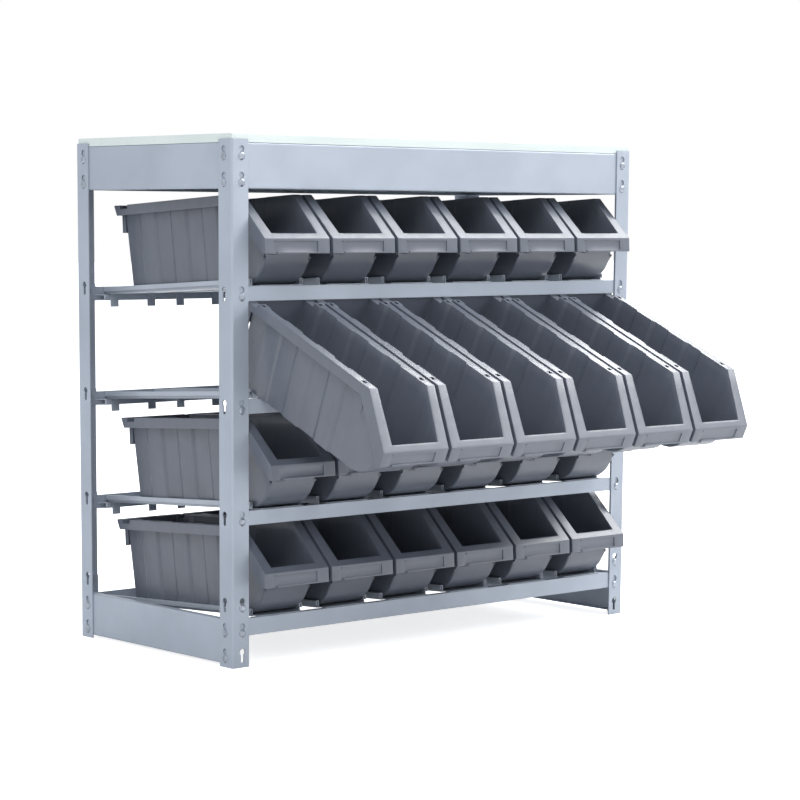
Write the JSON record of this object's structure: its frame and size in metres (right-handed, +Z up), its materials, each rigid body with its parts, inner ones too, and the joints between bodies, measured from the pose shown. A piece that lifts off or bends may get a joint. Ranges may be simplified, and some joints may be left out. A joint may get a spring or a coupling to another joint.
{
  "type": "storage bin rack",
  "caption": "Boltless steel rack with a worktop board and sloping shelves of open-front plastic storage bins that slide and tip.",
  "frame": {"origin": "on the floor, below the middle of the whole as it stands at rest with the second shelf's bins tipped out, which is 149 mm in front of the middle of the four posts", "axes": "+X along the rack to its right, -Y towards the open front of the bins, +Z up"},
  "size_m": [0.8454, 0.6887, 0.784],
  "materials": {
    "frame_paint": "satin silver blue powder coat",
    "tray_steel": "satin powder coat, paler than the frame",
    "rivet_steel": "zinc plated",
    "board": "pale melamine faced chipboard",
    "bin_plastic": "slate grey moulded polypropylene, fine texture"
  },
  "bodies": {
    "rack": {"post_front_left": "frame_paint", "post_front_right": "frame_paint", "post_back_right": "frame_paint", "post_back_left": "frame_paint", "top_beam_front": "frame_paint", "top_beam_back": "frame_paint", "top_beam_left": "frame_paint", "top_beam_right": "frame_paint", "base_panel_left": "frame_paint", "base_panel_right": "frame_paint", "shelf_beam_front_r1": "frame_paint", "shelf_beam_back_r1": "frame_paint", "shelf_beam_front_r2": "frame_paint", "shelf_beam_back_r2": "frame_paint", "shelf_beam_front_r3": "frame_paint", "shelf_beam_back_r3": "frame_paint", "shelf_beam_front_r4": "frame_paint", "shelf_beam_back_r4": "frame_paint", "worktop_board": "board", "trays_r1": "tray_steel", "trays_r2": "tray_steel", "trays_r3": "tray_steel", "trays_r4": "tray_steel", "rivets_front_left": "rivet_steel", "rivets_front_right": "rivet_steel", "rivets_back_right": "rivet_steel", "rivets_back_left": "rivet_steel"},
    "bin_r1_c1": {"bin_r1_c1": "bin_plastic"},
    "bin_r1_c2": {"bin_r1_c2": "bin_plastic"},
    "bin_r1_c3": {"bin_r1_c3": "bin_plastic"},
    "bin_r1_c4": {"bin_r1_c4": "bin_plastic"},
    "bin_r1_c5": {"bin_r1_c5": "bin_plastic"},
    "bin_r1_c6": {"bin_r1_c6": "bin_plastic"},
    "bin_r2_c1": {"bin_r2_c1": "bin_plastic"},
    "bin_r2_c2": {"bin_r2_c2": "bin_plastic"},
    "bin_r2_c3": {"bin_r2_c3": "bin_plastic"},
    "bin_r2_c4": {"bin_r2_c4": "bin_plastic"},
    "bin_r2_c5": {"bin_r2_c5": "bin_plastic"},
    "bin_r2_c6": {"bin_r2_c6": "bin_plastic"},
    "bin_r3_c1": {"bin_r3_c1": "bin_plastic"},
    "bin_r3_c2": {"bin_r3_c2": "bin_plastic"},
    "bin_r3_c3": {"bin_r3_c3": "bin_plastic"},
    "bin_r3_c4": {"bin_r3_c4": "bin_plastic"},
    "bin_r3_c5": {"bin_r3_c5": "bin_plastic"},
    "bin_r3_c6": {"bin_r3_c6": "bin_plastic"},
    "bin_r4_c1": {"bin_r4_c1": "bin_plastic"},
    "bin_r4_c2": {"bin_r4_c2": "bin_plastic"},
    "bin_r4_c3": {"bin_r4_c3": "bin_plastic"},
    "bin_r4_c4": {"bin_r4_c4": "bin_plastic"},
    "bin_r4_c5": {"bin_r4_c5": "bin_plastic"},
    "bin_r4_c6": {"bin_r4_c6": "bin_plastic"}
  },
  "joints": [
    {"name": "bin_r1_c1_slide", "type": "slide", "parent": "rack", "child": "bin_r1_c1", "axis": [0, -0.9984, 0.0566], "range_m": [0, 0.26]},
    {"name": "bin_r1_c2_slide", "type": "slide", "parent": "rack", "child": "bin_r1_c2", "axis": [0, -0.9984, 0.0566], "range_m": [0, 0.26]},
    {"name": "bin_r1_c3_slide", "type": "slide", "parent": "rack", "child": "bin_r1_c3", "axis": [0, -0.9984, 0.0566], "range_m": [0, 0.26]},
    {"name": "bin_r1_c4_slide", "type": "slide", "parent": "rack", "child": "bin_r1_c4", "axis": [0, -0.9984, 0.0566], "range_m": [0, 0.26]},
    {"name": "bin_r1_c5_slide", "type": "slide", "parent": "rack", "child": "bin_r1_c5", "axis": [0, -0.9984, 0.0566], "range_m": [0, 0.26]},
    {"name": "bin_r1_c6_slide", "type": "slide", "parent": "rack", "child": "bin_r1_c6", "axis": [0, -0.9984, 0.0566], "range_m": [0, 0.26]},
    {"name": "bin_r2_c1_tip", "type": "hinge", "parent": "rack", "child": "bin_r2_c1", "pos_m": [-0.3245, -0.0431, 0.40016], "axis": [-1, 0, 0], "range_deg": [0, 27]},
    {"name": "bin_r2_c2_tip", "type": "hinge", "parent": "rack", "child": "bin_r2_c2", "pos_m": [-0.1947, -0.0431, 0.40016], "axis": [-1, 0, 0], "range_deg": [0, 27]},
    {"name": "bin_r2_c3_tip", "type": "hinge", "parent": "rack", "child": "bin_r2_c3", "pos_m": [-0.0649, -0.0431, 0.40016], "axis": [-1, 0, 0], "range_deg": [0, 27]},
    {"name": "bin_r2_c4_tip", "type": "hinge", "parent": "rack", "child": "bin_r2_c4", "pos_m": [0.0649, -0.0431, 0.40016], "axis": [-1, 0, 0], "range_deg": [0, 27]},
    {"name": "bin_r2_c5_tip", "type": "hinge", "parent": "rack", "child": "bin_r2_c5", "pos_m": [0.1947, -0.0431, 0.40016], "axis": [-1, 0, 0], "range_deg": [0, 27]},
    {"name": "bin_r2_c6_tip", "type": "hinge", "parent": "rack", "child": "bin_r2_c6", "pos_m": [0.3245, -0.0431, 0.40016], "axis": [-1, 0, 0], "range_deg": [0, 27]},
    {"name": "bin_r3_c1_slide", "type": "slide", "parent": "rack", "child": "bin_r3_c1", "axis": [0, -0.9984, 0.0566], "range_m": [0, 0.05]},
    {"name": "bin_r3_c2_slide", "type": "slide", "parent": "rack", "child": "bin_r3_c2", "axis": [0, -0.9984, 0.0566], "range_m": [0, 0.05]},
    {"name": "bin_r3_c3_slide", "type": "slide", "parent": "rack", "child": "bin_r3_c3", "axis": [0, -0.9984, 0.0566], "range_m": [0, 0.05]},
    {"name": "bin_r3_c4_slide", "type": "slide", "parent": "rack", "child": "bin_r3_c4", "axis": [0, -0.9984, 0.0566], "range_m": [0, 0.05]},
    {"name": "bin_r3_c5_slide", "type": "slide", "parent": "rack", "child": "bin_r3_c5", "axis": [0, -0.9984, 0.0566], "range_m": [0, 0.05]},
    {"name": "bin_r3_c6_slide", "type": "slide", "parent": "rack", "child": "bin_r3_c6", "axis": [0, -0.9984, 0.0566], "range_m": [0, 0.05]},
    {"name": "bin_r4_c1_slide", "type": "slide", "parent": "rack", "child": "bin_r4_c1", "axis": [0, -0.9984, 0.0566], "range_m": [0, 0.26]},
    {"name": "bin_r4_c2_slide", "type": "slide", "parent": "rack", "child": "bin_r4_c2", "axis": [0, -0.9984, 0.0566], "range_m": [0, 0.26]},
    {"name": "bin_r4_c3_slide", "type": "slide", "parent": "rack", "child": "bin_r4_c3", "axis": [0, -0.9984, 0.0566], "range_m": [0, 0.26]},
    {"name": "bin_r4_c4_slide", "type": "slide", "parent": "rack", "child": "bin_r4_c4", "axis": [0, -0.9984, 0.0566], "range_m": [0, 0.26]},
    {"name": "bin_r4_c5_slide", "type": "slide", "parent": "rack", "child": "bin_r4_c5", "axis": [0, -0.9984, 0.0566], "range_m": [0, 0.26]},
    {"name": "bin_r4_c6_slide", "type": "slide", "parent": "rack", "child": "bin_r4_c6", "axis": [0, -0.9984, 0.0566], "range_m": [0, 0.26]}
  ]
}
